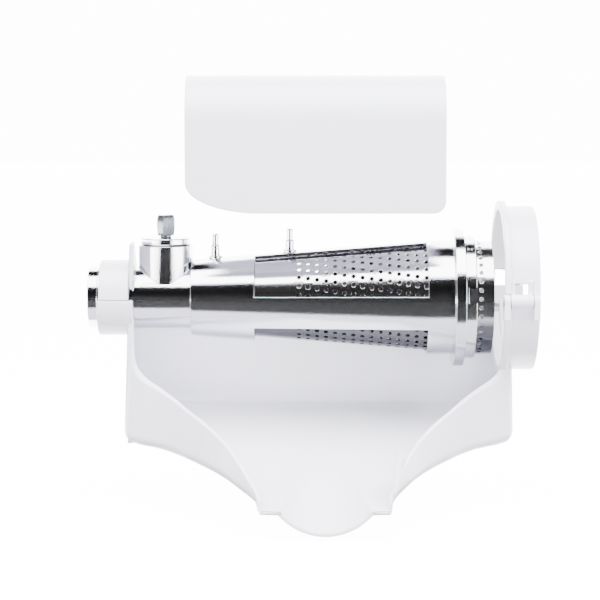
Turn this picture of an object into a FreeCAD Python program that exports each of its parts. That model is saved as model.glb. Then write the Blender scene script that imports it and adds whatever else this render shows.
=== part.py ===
"""Rotary grater-strainer head: chromed windowed cone with a perforated screen and an auger inside,
a plugged feed neck, a white drip tray with an outlet ring, and a lift-off splash cover.

Frame: +X runs along the auger axis from the drive end to the outlet, -Y is the front, +Z is up.
The origin is the centre of the drive end face.  Millimetres.
"""
import FreeCAD, Part
import math
import os
import Sketcher

V = FreeCAD.Vector
doc = FreeCAD.newDocument("strainer_head")

# ---------------------------------------------------------------- driving sizes
sizes = {
    # fits
    "gap": 0.3, "run_gap": 0.05, "split_gap": 0.3,
    # rear barrel and neck of the casting
    "spigot_r": 20.1, "spigot_len": 6.2, "barrel_r": 20.7, "barrel_len": 68.0, "bore_r": 16.2,
    "neck_x": 50.9, "neck_r": 18.0, "neck_bore_r": 14.5, "neck_top": 35.0,
    # windowed cone and flange of the casting
    "wall": 2.6, "cone_r_small": 25.3, "cone_r_big": 37.9, "cone_len": 155.3, "mouth_len": 18.0,
    "flange_r": 45.7, "flange_len": 6.5, "seat_depth": 4.5,
    "win_start": 42.0, "win_len": 115.5,
    "win_up_low": 6.0, "win_up_high": 73.0, "win_low": 35.0,
    # key ring
    "key_len": 7.3, "key_wall": 3.0, "notch_w": 10.0, "notch_z": 5.2, "notch_depth": 5.0,
    "stud_r": 2.0, "stud_angle": 58.5, "stud_proud": 0.9,
    # screen and its end band
    "sheet": 0.8, "screen_start": 36.0, "band_len": 22.7, "band_step": 2.5, "tab_len": 5.0, "tab_proud": 3.6,
    # drive line
    "shaft_r": 9.0, "tang": 11.0, "tang_start": 1.0, "tang_len": 13.0, "bush_gap": 2.0, "bush_len": 15.0,
    "seal_len": 2.2, "washer_len": 0.7, "washer_r": 14.0, "pin_r": 2.0, "shaft_grip": 26.0,
    # auger
    "hub_r": 11.0, "root_r_end": 22.0, "flight_w": 3.0, "flight_gap": 0.7, "feed_pitch": 14.0,
    "cone_pitch": 30.0, "cone_run_out": 8.3, "nose_len": 16.0, "nose_r": 12.0,
    # locating pegs
    "peg_rear_x": 83.8, "peg_front_x": 133.2, "peg_rear_shoulder": 34.5, "peg_front_shoulder": 37.8,
    "peg_r": 3.0, "peg_tip_r": 2.15, "peg_tip_len": 8.0, "peg_root_r": 2.0, "peg_boss_r": 4.6,
    "peg_boss_rise": 1.3,
    # neck plug and thumb screw
    "cap_r": 16.5, "cap_len": 4.4, "gasket_r": 16.0, "gasket_len": 0.6, "rubber_len": 10.0,
    "plate_r": 13.9, "plate_len": 3.5, "screw_r": 3.0, "screw_tail": 2.5, "collar_r": 3.7, "collar_len": 1.4,
    "paddle_w": 10.5, "paddle_t": 6.5, "paddle_len": 13.6, "paddle_turn": 44.0,
    # drip tray
    "tray_start": 25.5, "tray_len": 256.0, "tray_back": 50.0, "tray_wall": 2.6, "tray_corner_y": -18.0,
    "tray_corner_r": 9.0, "tray_corner_turn": 62.0, "floor_back_z": -76.3, "floor_slope": 15.0,
    "back_top": 0.0, "back_land": 30.0, "spout_y": -122.0, "spout_half": 41.4, "spout_shift": 3.5,
    "trough_r": 40.0, "trough_depth": 13.5, "trough_run": 54.0,
    "side_top": 37.0, "side_front": -26.0, "rim_start": -37.0, "floor_fillet": 18.0,
    # collar on the barrel
    "collar_wall": 4.3, "saddle_start": 6.5, "clamp_start": 7.7,
    # outlet ring
    "ring_z": 6.4, "ring_r": 54.3, "ring_wall": 2.3, "ring_lap": 10.0, "ring_len": 22.8,
    "ring_parting": 3.4, "bead_r": 58.0, "bead_len": 4.0, "ring_win_top": 14.0,
    "knuckle_in": 3.3, "knuckle_len": 14.5, "hinge_out": 2.2, "hinge_z": 3.0, "hinge_r": 2.0,
    "knuckle_r": 4.6, "ear_len": 4.0, "ear_drop": 12.0, "arm_w": 3.0,
    # splash cover
    "cover_start": 66.0, "cover_len": 168.0, "cover_half": 45.0, "cover_wall": 2.2, "cover_bend": 30.0,
    "cover_top": 47.0, "cover_front_z": -41.4, "cover_back_z": -12.0, "cover_lift": 100.0,
    "cover_cut_len": 48.0, "cover_cut_rise": 19.5, "cover_corner_r": 8.0,
    "boss_r": 4.4, "boss_bore_r": 2.4,
}
sheet = doc.addObject("Spreadsheet::Sheet", "Sizes")
for row, (name, number) in enumerate(sizes.items(), start=1):
    sheet.set("A%d" % row, name)
    sheet.set("B%d" % row, str(number))
    sheet.setAlias("B%d" % row, name)

# sizes that follow from the driving ones, kept in the same sheet as formulas
derived = {
    "cone_end": "=barrel_len + cone_len",
    "flange_x": "=barrel_len + cone_len + mouth_len",
    "key_x": "=flange_x + flange_len",
    "key_end": "=key_x + key_len",
    "slope": "=(cone_r_big - cone_r_small) / cone_len",
    "mouth_r": "=cone_r_big - wall",
    "inner_r_small": "=cone_r_small - wall + slope * wall",
    "screen_r": "=mouth_r - gap",
    "screen_x": "=barrel_len + screen_start",
    "screen_r_small": "=screen_r - slope * (cone_end - screen_x)",
    "band_x": "=flange_x + flange_len - seat_depth + gap",
    "band_r": "=screen_r + band_step",
    "key_bore_r": "=band_r + gap",
    "key_r": "=key_bore_r + key_wall",
    "bush_x": "=tang_start + tang_len + bush_gap",
    "seal_x": "=bush_x + bush_len",
    "washer_x": "=seal_x + seal_len",
    "hub_x": "=washer_x + washer_len + gap",
    "tip_r_feed": "=bore_r - flight_gap - gap",
    "cone_flight_x": "=barrel_len + wall + 1.5",
    "tip_r_cone": "=screen_r_small - sheet - flight_gap - slope * (screen_x - cone_flight_x)",
    "auger_end": "=flange_x - 1.5",
    "cap_z": "=neck_top + gasket_len",
    "plate_z": "=neck_top - rubber_len - plate_len",
    "tray_half": "=tray_len / 2",
    "tray_mid": "=tray_start + tray_half",
    "collar_out_r": "=barrel_r + collar_wall",
    "ring_start": "=tray_start + tray_len - ring_lap",
    "ring_end": "=ring_start + ring_len",
    "knuckle_start": "=ring_start + knuckle_in",
    "hinge_y": "=0 - ring_r - hinge_out",
    "parting_z": "=ring_z - ring_parting",
}
for row, (name, formula) in enumerate(derived.items(), start=len(sizes) + 1):
    sheet.set("A%d" % row, name)
    sheet.set("B%d" % row, formula)
    sheet.setAlias("B%d" % row, name)
doc.recompute()


def size(name):
    """The current value of a named size, in millimetres or degrees."""
    return float(getattr(sheet, name))


def linked(words):
    """An expression with every size name pointed at the sheet."""
    out = ""
    word = ""
    for letter in words + " ":
        if letter.isalnum() or letter == "_":
            word += letter
            continue
        out += ("Sizes." + word) if word in sizes or word in derived else word
        out += letter
        word = ""
    return out.strip()


# ---------------------------------------------------------------- modelling helpers
def new_body(label, x="0"):
    """A PartDesign body whose place along the axis is bound to the sheet."""
    made = doc.addObject("PartDesign::Body", label)
    made.Label = label
    made.setExpression("Placement.Base.x", linked(x))
    return made


def new_sketch(body, role, offset=None):
    """An empty sketch on one of the body's own origin planes."""
    made = body.newObject("Sketcher::SketchObject", body.Name + "_sketch")
    base = [feature for feature in body.Origin.OriginFeatures if feature.Role == role][0]
    made.AttachmentSupport = [(base, "")]
    made.MapMode = "FlatFace"
    if offset:
        made.setExpression("AttachmentOffset.Base.z", linked(offset))
    return made


def pin_point(sketch, item, vertex, across, up):
    """Bind one sketch point to two expressions, measured from the sketch's origin."""
    for kind, words, axis in (("DistanceX", across, -2), ("DistanceY", up, -1)):
        if words == "0":
            sketch.addConstraint(Sketcher.Constraint("PointOnObject", item, vertex, axis))
            continue
        index = sketch.addConstraint(Sketcher.Constraint(kind, -1, 1, item, vertex, 1.0))
        sketch.setExpression("Constraints[%d]" % index, linked(words))


def outline(sketch, points):
    """A closed outline of straight edges; each corner is a pair of expressions."""
    first = sketch.GeometryCount
    count = len(points)
    ring = [V(math.cos(2 * math.pi * k / count), math.sin(2 * math.pi * k / count), 0) for k in range(count)]
    for k in range(count):
        sketch.addGeometry(Part.LineSegment(ring[k], ring[(k + 1) % count]), False)
    for k in range(count):
        following = first + (k + 1) % count
        sketch.addConstraint(Sketcher.Constraint("Coincident", first + k, 2, following, 1))
    for k, (across, up) in enumerate(points):
        pin_point(sketch, first + k, 1, across, up)


def circle(sketch, across, up, radius):
    """A circle whose centre and radius are expressions."""
    item = sketch.addGeometry(Part.Circle(V(1, 1, 0), V(0, 0, 1), 1.0), False)
    pin_point(sketch, item, 3, across, up)
    index = sketch.addConstraint(Sketcher.Constraint("Radius", item, 1.0))
    sketch.setExpression("Constraints[%d]" % index, linked(radius))


def turned(body, points, axis="H_Axis", role="XZ_Plane", kind="PartDesign::Revolution"):
    """Revolve an outline about the body's X axis, or its Z axis with V_Axis."""
    profile = new_sketch(body, role)
    outline(profile, points)
    made = body.newObject(kind, body.Name + "_turned")
    made.Profile = profile
    made.ReferenceAxis = (profile, [axis])
    made.Angle = 360
    doc.recompute()
    return made


def padded(body, sketch, length, reverse=False):
    """Pad a sketch by an expression's length."""
    made = body.newObject("PartDesign::Pad", body.Name + "_pad")
    made.Profile = sketch
    made.setExpression("Length", linked(length))
    made.Reversed = reverse
    doc.recompute()
    return made


def pocketed(body, sketch, length, reverse=False):
    """Cut a sketch away, and stop if nothing was removed."""
    before = body.Shape.Volume
    made = body.newObject("PartDesign::Pocket", body.Name + "_pocket")
    made.Profile = sketch
    made.setExpression("Length", linked(length))
    made.Reversed = reverse
    doc.recompute()
    if body.Shape.Volume >= before - 0.01:
        raise RuntimeError("a pocket of %s cut nothing" % body.Label)
    return made


def rounded(body, radius, wanted, kind="PartDesign::Fillet"):
    """Round or chamfer the edges of the body's tip that the test picks."""
    tip = body.Tip
    names = ["Edge%d" % (k + 1) for k, edge in enumerate(tip.Shape.Edges) if wanted(edge)]
    if not names:
        raise RuntimeError("no edge to round on %s" % body.Label)
    made = body.newObject(kind, body.Name + "_edges")
    made.Base = (tip, names)
    if kind == "PartDesign::Fillet":
        made.Radius = radius
    else:
        made.Size = radius
    doc.recompute()
    return made


def is_ring_at(edge, x, radius):
    """Whether an edge is a full circle about the X axis, at this place and radius."""
    if not isinstance(edge.Curve, Part.Circle):
        return False
    centre = edge.Curve.Center
    on_axis = abs(centre.y) + abs(centre.z) < 0.01
    return on_axis and abs(centre.x - x) < 0.01 and abs(edge.Curve.Radius - radius) < 0.01


def ring_body(label, start, end, inner, outer):
    """A plain ring about the X axis."""
    made = new_body(label)
    turned(made, [(start, inner), (start, outer), (end, outer), (end, inner)])
    return made


def solid_feature(label, shape):
    """A document object for a shape made with Part's own functions."""
    made = doc.addObject("Part::Feature", label)
    made.Label = label
    made.Shape = shape
    return made


pieces = []

# ---------------------------------------------------------------- body casting
casting = new_body("body_casting")
turned(casting, [
    ("0", "0"), ("0", "spigot_r"), ("spigot_len", "spigot_r"), ("spigot_len", "barrel_r"),
    ("barrel_len", "barrel_r"), ("barrel_len", "cone_r_small"),
    ("cone_end", "cone_r_big"), ("flange_x", "cone_r_big"), ("flange_x", "flange_r"),
    ("key_x", "flange_r"), ("key_x", "0"),
])
neck_sketch = new_sketch(casting, "XY_Plane")
circle(neck_sketch, "neck_x", "0", "neck_r")
padded(casting, neck_sketch, "neck_top")
for peg_x in ("peg_rear_x", "peg_front_x"):
    boss_sketch = new_sketch(casting, "XY_Plane")
    circle(boss_sketch, peg_x, "0", "peg_boss_r")
    padded(casting, boss_sketch, "cone_r_small + slope * (%s - barrel_len) + peg_boss_rise" % peg_x)
turned(casting, [
    ("0 - 1", "0"), ("0 - 1", "bore_r"), ("barrel_len + wall", "bore_r"),
    ("barrel_len + wall", "inner_r_small"),
    ("cone_end", "mouth_r"), ("key_x - seat_depth", "mouth_r"), ("key_x - seat_depth", "key_bore_r"),
    ("key_x + 1", "key_bore_r"), ("key_x + 1", "0"),
], kind="PartDesign::Groove")
neck_bore = new_sketch(casting, "XY_Plane", "neck_top")
circle(neck_bore, "neck_x", "0", "neck_bore_r")
pocketed(casting, neck_bore, "neck_top")
for peg_x in ("peg_rear_x", "peg_front_x"):
    hole_sketch = new_sketch(casting, "XY_Plane", "neck_top + 10")
    circle(hole_sketch, peg_x, "0", "peg_root_r")
    pocketed(casting, hole_sketch, "neck_top + 10")


def window(low, high):
    """A window's outline across the axis, between two angles up from the front."""
    reach = "cone_r_big + 20"
    corners = []
    for distance, angle in (("6", low), (reach, low), (reach, high), ("6", high)):
        across = "0 - (%s) * cos((%s) * 1deg)" % (distance, angle)
        up = "(%s) * sin((%s) * 1deg)" % (distance, angle)
        corners.append((across, up))
    return corners


windows = new_sketch(casting, "YZ_Plane", "barrel_len + win_start")
outline(windows, window("win_up_low", "win_up_high"))
outline(windows, window("180 - win_up_high", "180 - win_up_low"))
bottom_low = "0 - win_low"
bottom_high = "win_low - 180"
bottom = window(bottom_low, bottom_high)
bottom.insert(2, ("0", "0 - (cone_r_big + 40)"))
outline(windows, bottom)
pocketed(casting, windows, "win_len", reverse=True)
rounded(casting, 1.6, lambda edge: is_ring_at(edge, size("flange_x"), size("flange_r"))
        or is_ring_at(edge, size("key_x"), size("flange_r")))
pieces.append(casting)

# ---------------------------------------------------------------- locating pegs
for label, peg_x, shoulder in (("locating_peg_rear", "peg_rear_x", "peg_rear_shoulder"),
                               ("locating_peg_front", "peg_front_x", "peg_front_shoulder")):
    peg = new_body(label, x=peg_x)
    cone_top = "(cone_r_small + slope * (%s - barrel_len))" % peg_x
    turned(peg, [
        ("0", cone_top + " - wall + 0.3"), ("peg_root_r", cone_top + " - wall + 0.3"),
        ("peg_root_r", cone_top + " + peg_boss_rise"), ("peg_r", cone_top + " + peg_boss_rise"),
        ("peg_r", shoulder), ("peg_tip_r", shoulder + " + 0.8"),
        ("peg_tip_r", shoulder + " + peg_tip_len - 0.8"),
        ("peg_tip_r - 0.7", shoulder + " + peg_tip_len"), ("0", shoulder + " + peg_tip_len"),
    ], axis="V_Axis")
    pieces.append(peg)

# ---------------------------------------------------------------- key ring, its studs
key_blank = ring_body("key_ring_blank", "key_x", "key_end", "key_bore_r", "key_r")
notch = new_sketch(key_blank, "YZ_Plane", "key_end - notch_depth")
outline(notch, [
    ("0 - key_r - 2", "notch_z - notch_w / 2"), ("0 - key_bore_r + 4", "notch_z - notch_w / 2"),
    ("0 - key_bore_r + 4", "notch_z + notch_w / 2"), ("0 - key_r - 2", "notch_z + notch_w / 2"),
])
pocketed(key_blank, notch, "notch_depth", reverse=True)
rounded(key_blank, 0.7, lambda edge: isinstance(edge.Curve, Part.Circle)
        and abs(edge.Curve.Radius - size("key_r")) < 0.01)
stud_x = size("key_x") + size("key_len") / 2
stud_hole_floor = size("key_bore_r") + 0.6
stud_shapes = []
for angle in (size("stud_angle"), 180 - size("stud_angle")):
    outward = V(0, -math.cos(math.radians(angle)), math.sin(math.radians(angle)))
    foot = V(stud_x, 0, 0) + outward * stud_hole_floor
    stud_height = size("key_r") + size("stud_proud") - stud_hole_floor
    stud_shapes.append(Part.makeCylinder(size("stud_r"), stud_height, foot, outward))
studs = solid_feature("key_ring_studs", Part.makeCompound(stud_shapes))
key_ring = solid_feature("key_ring", key_blank.Shape.cut(Part.makeCompound(stud_shapes)))
pieces += [key_ring, studs]

# ---------------------------------------------------------------- screen, its end band and key tab
screen = new_body("perforated_screen")
turned(screen, [
    ("screen_x", "screen_r_small - sheet"), ("screen_x", "screen_r_small"), ("cone_end", "screen_r"),
    ("band_x + sheet", "screen_r"), ("band_x + sheet", "screen_r - sheet"), ("cone_end", "screen_r - sheet"),
])
pieces.append(screen)
band = new_body("screen_end_band")
turned(band, [
    ("band_x", "screen_r"), ("band_x", "band_r"), ("band_x + band_len", "band_r"),
    ("band_x + band_len", "band_r - sheet"), ("band_x + sheet", "band_r - sheet"),
    ("band_x + sheet", "screen_r"),
])
pieces.append(band)
tab_x = size("key_end") - size("tab_len") + size("gap")
tab_w = size("notch_w") - 2 * size("gap")
tab_box = Part.makeBox(size("tab_len"), size("band_r") + size("tab_proud"), tab_w,
                       V(tab_x, -size("band_r") - size("tab_proud"), size("notch_z") - tab_w / 2))
band_core = Part.makeCylinder(size("band_r"), size("tab_len") * 3, V(tab_x - 5, 0, 0), V(1, 0, 0))
tab = solid_feature("screen_key_tab", tab_box.cut(band_core).Solids[0])
pieces.append(tab)

# ---------------------------------------------------------------- drive line
bush = ring_body("rear_bush", "bush_x", "seal_x", "shaft_r + run_gap", "bore_r")
seal = ring_body("shaft_seal", "seal_x", "washer_x", "shaft_r + run_gap * 2", "bore_r")
washer = ring_body("thrust_washer", "washer_x", "washer_x + washer_len", "shaft_r + gap", "washer_r")
pieces += [bush, seal, washer]

pin_x = "(hub_x + shaft_grip / 2)"
shaft = new_body("drive_shaft")
shaft_end = new_sketch(shaft, "YZ_Plane", "tang_start + tang_len")
circle(shaft_end, "0", "0", "shaft_r")
padded(shaft, shaft_end, "hub_x + shaft_grip - tang_start - tang_len")
tang_sketch = new_sketch(shaft, "YZ_Plane", "tang_start")
outline(tang_sketch, [
    ("0 - tang / 2", "0 - tang / 2"), ("tang / 2", "0 - tang / 2"), ("tang / 2", "tang / 2"),
    ("0 - tang / 2", "tang / 2"),
])
padded(shaft, tang_sketch, "tang_len")
pin_hole = new_sketch(shaft, "XY_Plane", "0 - shaft_r - 1")
circle(pin_hole, pin_x, "0", "pin_r")
pocketed(shaft, pin_hole, "2 * shaft_r + 2", reverse=True)
pieces.append(shaft)

drive_pin = new_body("drive_pin")
pin_sketch = new_sketch(drive_pin, "XY_Plane", "0.3 - hub_r")
circle(pin_sketch, pin_x, "0", "pin_r")
padded(drive_pin, pin_sketch, "2 * hub_r - 0.6")
pieces.append(drive_pin)

# ---------------------------------------------------------------- auger
auger = new_body("auger")
turned(auger, [
    ("hub_x + shaft_grip", "0"), ("hub_x + shaft_grip", "shaft_r"), ("hub_x", "shaft_r"), ("hub_x", "hub_r"),
    ("barrel_len", "hub_r"), ("auger_end", "root_r_end"), ("auger_end + nose_len", "nose_r"),
    ("auger_end + nose_len", "0"),
])


def flight(start, inner, tip, pitch, rise, taper):
    """One helical flight about the X axis, its section a tapered rib."""
    rib = new_sketch(auger, "XZ_Plane")
    outline(rib, [(start, inner), (start + " + 0.6", tip), (start + " + flight_w - 0.6", tip),
                  (start + " + flight_w", inner)])
    made = auger.newObject("PartDesign::AdditiveHelix", "flight")
    made.Profile = rib
    made.ReferenceAxis = (rib, ["H_Axis"])
    made.Mode = "pitch-height-angle"
    made.setExpression("Pitch", linked(pitch))
    made.setExpression("Height", linked(rise))
    made.setExpression("Angle", linked(taper))
    doc.recompute()
    return made


flight("hub_x + 1", "hub_r - 1", "tip_r_feed", "feed_pitch", "barrel_len - hub_x - 6", "0")
flight("cone_flight_x", "hub_r - 5", "tip_r_cone", "cone_pitch", "cone_len - cone_run_out", "atan(slope)")
pin_bore = new_sketch(auger, "XY_Plane", "0 - hub_r - 8")
circle(pin_bore, pin_x, "0", "pin_r")
pocketed(auger, pin_bore, "2 * hub_r + 16", reverse=True)
pieces.append(auger)

# ---------------------------------------------------------------- neck plug and thumb screw
def neck_ring(label, low, high, inner, outer):
    """A ring about the neck's own axis."""
    made = new_body(label, x="neck_x")
    turned(made, [(inner, low), (outer, low), (outer, high), (inner, high)], axis="V_Axis")
    return made


cap = neck_ring("neck_cap", "cap_z", "cap_z + cap_len", "screw_r + 0.1", "cap_r")
rounded(cap, 0.8, lambda edge: isinstance(edge.Curve, Part.Circle)
        and abs(edge.Curve.Radius - size("cap_r")) < 0.01)
gasket = neck_ring("cap_gasket", "neck_top", "cap_z", "screw_r + gap", "gasket_r")
rubber = neck_ring("plug_rubber", "neck_top - rubber_len", "neck_top", "screw_r + gap", "neck_bore_r - gap")
plate = neck_ring("plug_plate", "plate_z", "plate_z + plate_len", "screw_r + run_gap", "plate_r")
pieces += [cap, gasket, rubber, plate]

screw = new_body("thumb_screw", x="neck_x")
screw.setExpression("Placement.Rotation.Angle", linked("paddle_turn"))
turned(screw, [
    ("0", "plate_z - screw_tail"), ("screw_r", "plate_z - screw_tail"), ("screw_r", "cap_z + cap_len"),
    ("collar_r", "cap_z + cap_len"), ("collar_r", "cap_z + cap_len + collar_len"),
    ("0", "cap_z + cap_len + collar_len"),
], axis="V_Axis")
paddle = new_sketch(screw, "XY_Plane", "cap_z + cap_len + collar_len")
outline(paddle, [
    ("0 - paddle_w / 2", "0 - paddle_t / 2"), ("paddle_w / 2", "0 - paddle_t / 2"),
    ("paddle_w / 2", "paddle_t / 2"), ("0 - paddle_w / 2", "paddle_t / 2"),
])
padded(screw, paddle, "paddle_len")
paddle_top = size("cap_z") + size("cap_len") + size("collar_len") + size("paddle_len")
rounded(screw, 1.2, lambda edge: isinstance(edge.Curve, Part.Line)
        and edge.BoundBox.ZMax > paddle_top - 0.01)
pieces.append(screw)

# ---------------------------------------------------------------- drip tray
mid = size("tray_mid")
half_width = size("tray_half")
back_y = size("tray_back")
skin = size("tray_wall")
fall = math.tan(math.radians(size("floor_slope")))
top_z = size("side_top")
deep = -170.0
high = 120.0


def floor_z(y):
    """Height of the tray's underside at a distance from the axis plane."""
    return size("floor_back_z") + (y - back_y) * fall


def plan_outline(inset, spout_reach):
    """Tray outline from above: straight sides, round corners, then ogee sides down to the spout."""
    side = half_width - inset
    corner = size("tray_corner_r") - inset
    corner_y = size("tray_corner_y")
    turn = math.radians(size("tray_corner_turn"))
    lean = V(side - corner + corner * math.cos(turn), corner_y - corner * math.sin(turn), 0)
    middle = V(side - corner + corner * math.cos(turn / 2), corner_y - corner * math.sin(turn / 2), 0)
    neck = size("spout_half") - inset
    run = size("spout_y") - lean.y
    reach = lean.x - neck
    ogee = [lean]
    for share_x, share_y in ((0.26, 0.118), (0.485, 0.293), (0.70, 0.506), (0.834, 0.693), (0.938, 0.86)):
        ogee.append(V(lean.x - reach * share_x, lean.y + run * share_y, 0))
    ogee.append(V(neck, size("spout_y"), 0))
    half = [V(side, back_y - inset, 0), V(side, corner_y, 0)]

    def placed(point, sign):
        along = max(0.0, (point.y - lean.y) / run)
        return V(mid + sign * point.x + size("spout_shift") * along ** 2, point.y, deep)

    edges = []
    for sign in (1, -1):
        edges.append(Part.LineSegment(placed(half[0], sign), placed(half[1], sign)).toShape())
        edges.append(Part.Arc(placed(half[1], sign), placed(middle, sign), placed(lean, sign)).toShape())
        curve = Part.BSplineCurve()
        start = V(-sign * math.sin(turn), -math.cos(turn), 0)
        curve.interpolate([placed(point, sign) for point in ogee], InitialTangent=start,
                          FinalTangent=V(-sign * 0.25, -1, 0))
        edges.append(curve.toShape())
        tail = V(neck, size("spout_y") - spout_reach, 0)
        edges.append(Part.LineSegment(placed(ogee[-1], sign), placed(tail, sign)).toShape())
    edges.append(Part.LineSegment(placed(half[0], 1), placed(half[0], -1)).toShape())
    edges.append(Part.LineSegment(placed(tail, 1), placed(tail, -1)).toShape())
    wire = Part.Wire(Part.__sortEdges__(edges))
    return Part.Face(wire).extrude(V(0, 0, high - deep))


def side_prism(points_or_edges):
    """Extrude a closed side profile, given as edges in the YZ plane, over the tray's whole width."""
    wire = Part.Wire(Part.__sortEdges__(points_or_edges))
    span = 2 * half_width + 80
    return Part.Face(wire).extrude(V(span, 0, 0))


def side_point(y, z):
    return V(mid - half_width - 40, y, z)


def line(first, second):
    return Part.LineSegment(first, second).toShape()


front_y = size("side_front")
rim_start_z = size("rim_start")
spout_z = floor_z(size("spout_y")) + skin
rim_run = size("spout_y") + 1.0 - front_y
rim_drop = spout_z - rim_start_z
rim_points = [side_point(front_y, rim_start_z)]
for share_y, share_z in ((0.045, 0.19), (0.18, 0.33), (0.36, 0.45), (0.56, 0.58), (0.70, 0.68), (0.84, 0.80),
                         (0.967, 0.90)):
    rim_points.append(side_point(front_y + rim_run * share_y, rim_start_z + rim_drop * share_z))
rim_points.append(side_point(front_y + rim_run, spout_z))
rim_curve = Part.BSplineCurve()
rim_curve.interpolate(rim_points, InitialTangent=V(0, 0, -1), FinalTangent=V(0, -0.3, -1))
outer_side = [
    line(side_point(back_y, floor_z(back_y)), side_point(back_y, top_z)),
    line(side_point(back_y, top_z), side_point(front_y, top_z)),
    line(side_point(front_y, top_z), rim_points[0]),
    rim_curve.toShape(),
    line(rim_points[-1], side_point(size("spout_y"), spout_z)),
    line(side_point(size("spout_y"), spout_z), side_point(size("spout_y"), floor_z(size("spout_y")))),
    line(side_point(size("spout_y"), floor_z(size("spout_y"))), side_point(back_y, floor_z(back_y))),
]
outer = plan_outline(0.0, 5.0).common(side_prism(outer_side))

inner_back = back_y - skin
bend = size("floor_fillet")
floor_angle = math.radians(size("floor_slope"))
floor_inner_back = floor_z(inner_back) + skin / math.cos(floor_angle)
tangent = bend * math.tan((math.pi / 2 - floor_angle) / 2)
arc_top = side_point(inner_back, floor_inner_back + tangent)
arc_low = side_point(inner_back - tangent * math.cos(floor_angle),
                     floor_inner_back - tangent * math.sin(floor_angle))
arc_centre = side_point(inner_back - bend, floor_inner_back + tangent)
half_turn = (math.pi / 2 - floor_angle) / 2
arc_mid = arc_centre + V(0, math.cos(half_turn), -math.sin(half_turn)) * bend
far_y = size("spout_y") - 30
far_z = floor_inner_back + (far_y - inner_back) * fall
inner_side = [
    Part.Arc(arc_top, arc_mid, arc_low).toShape(),
    line(arc_low, side_point(far_y, far_z)),
    line(side_point(far_y, far_z), side_point(far_y, high)),
    line(side_point(far_y, high), side_point(inner_back, high)),
    line(side_point(inner_back, high), arc_top),
]
inner = plan_outline(skin, 30.0).common(side_prism(inner_side))

# the trough sags below the floor towards the lip: a pipe that dips more steeply than the floor
dip = size("trough_depth") / size("trough_run")
trough_axis = V(0, -1, -(fall + dip)).normalize()
trough_head_y = size("spout_y") + size("trough_run")
lip_cut = Part.makeBox(300, 200, 300, V(mid - 150, size("spout_y") - 200, -250))


def trough(radius):
    """A round bar whose underside meets the floor at the trough's head."""
    start_y = trough_head_y + 10
    upright = size("trough_r") / -trough_axis.y
    start_z = floor_z(start_y) + skin + upright + dip * 10
    length = size("trough_run") + 60
    return Part.makeCylinder(radius, length, V(mid + size("spout_shift"), start_y, start_z), trough_axis)


def under_floor():
    """The space below the tray's floor surface, between the trough's head and the lip."""
    near = trough_head_y + 30
    far = size("spout_y")
    corners = [side_point(near, floor_z(near) + skin), side_point(far, floor_z(far) + skin),
               side_point(far, deep), side_point(near, deep)]
    return side_prism([line(corners[k], corners[(k + 1) % 4]) for k in range(4)])


ring_z = size("ring_z")
ring_r = size("ring_r")
ring_in = ring_r - size("ring_wall")
ring_start = size("ring_start")
ring_end = size("ring_end")
parting = size("parting_z")


def ring_cylinder(radius, start, end):
    """A cylinder about the outlet ring's axis."""
    return Part.makeCylinder(radius, end - start, V(start, 0, ring_z), V(1, 0, 0))


def barrel_cylinder(radius, start, end):
    """A cylinder about the barrel's axis."""
    return Part.makeCylinder(radius, end - start, V(start, 0, 0), V(1, 0, 0))


def below(z, margin=400):
    return Part.makeBox(2 * margin, 2 * margin, margin, V(mid - margin, -margin, z - margin))


def above(z, margin=400):
    return Part.makeBox(2 * margin, 2 * margin, margin, V(mid - margin, -margin, z))


shell = outer.cut(lip_cut).cut(inner).cut(trough(size("trough_r")))
trough_skin = trough(size("trough_r") + skin).cut(trough(size("trough_r"))).common(under_floor())
shell = shell.fuse(trough_skin)
# the back wall is low, the right wall stops at the ring's parting line, and the left one slopes to the back
wall_left = size("tray_start")
low_back = Part.makeBox(3 * half_width, back_y, high,
                        V(wall_left + skin, size("back_land"), size("back_top")))
right_top = Part.makeBox(half_width, 4 * back_y, high, V(mid + 10, -2 * back_y, parting))
slope_corners = [side_point(back_y + 1, size("back_top")), side_point(0.0, top_z + 1),
                 side_point(back_y + 1, top_z + 1)]
slope_cut = side_prism([line(slope_corners[k], slope_corners[(k + 1) % 3]) for k in range(3)])
shell = shell.cut(low_back).cut(right_top).cut(slope_cut)
saddle = barrel_cylinder(size("collar_out_r"), size("saddle_start"), wall_left + skin).common(below(0.0))
lower_ring = ring_cylinder(ring_r, ring_start, ring_end).common(below(parting))
shell = shell.fuse([saddle, lower_ring])

# hinge ears at the front of the outlet ring
hinge_y = size("hinge_y")
hinge_z = size("hinge_z")
knuckle_start = size("knuckle_start")
knuckle_end = knuckle_start + size("knuckle_len")
ear_len = size("ear_len")
ear_starts = (knuckle_start - size("gap") - ear_len, knuckle_end + size("gap"))


def hinge_disc(radius, start, end):
    """A cylinder about the hinge's axis."""
    return Part.makeCylinder(radius, end - start, V(start, hinge_y, hinge_z), V(1, 0, 0))


ears = []
for ear_start in ear_starts:
    root = Part.makeBox(ear_len, size("knuckle_r") + 6.0, size("ear_drop"),
                        V(ear_start, hinge_y - size("knuckle_r"), hinge_z - size("ear_drop")))
    ears.append(hinge_disc(size("knuckle_r"), ear_start, ear_start + ear_len).fuse(root))
shell = shell.fuse(ears)
shell = shell.cut(barrel_cylinder(size("barrel_r") + size("gap"), -5, wall_left + 40))
shell = shell.cut(ring_cylinder(ring_in, ring_start - 45, ring_end + 5))
shell = shell.cut(hinge_disc(size("hinge_r"), ring_start - 10, ring_end + 10))
knuckle_room = hinge_disc(size("knuckle_r") + size("gap"), knuckle_start - size("gap"),
                          knuckle_end + size("gap"))
shell = shell.cut(knuckle_room)
tray = solid_feature("drip_tray", shell.removeSplitter())
pieces.append(tray)

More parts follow.
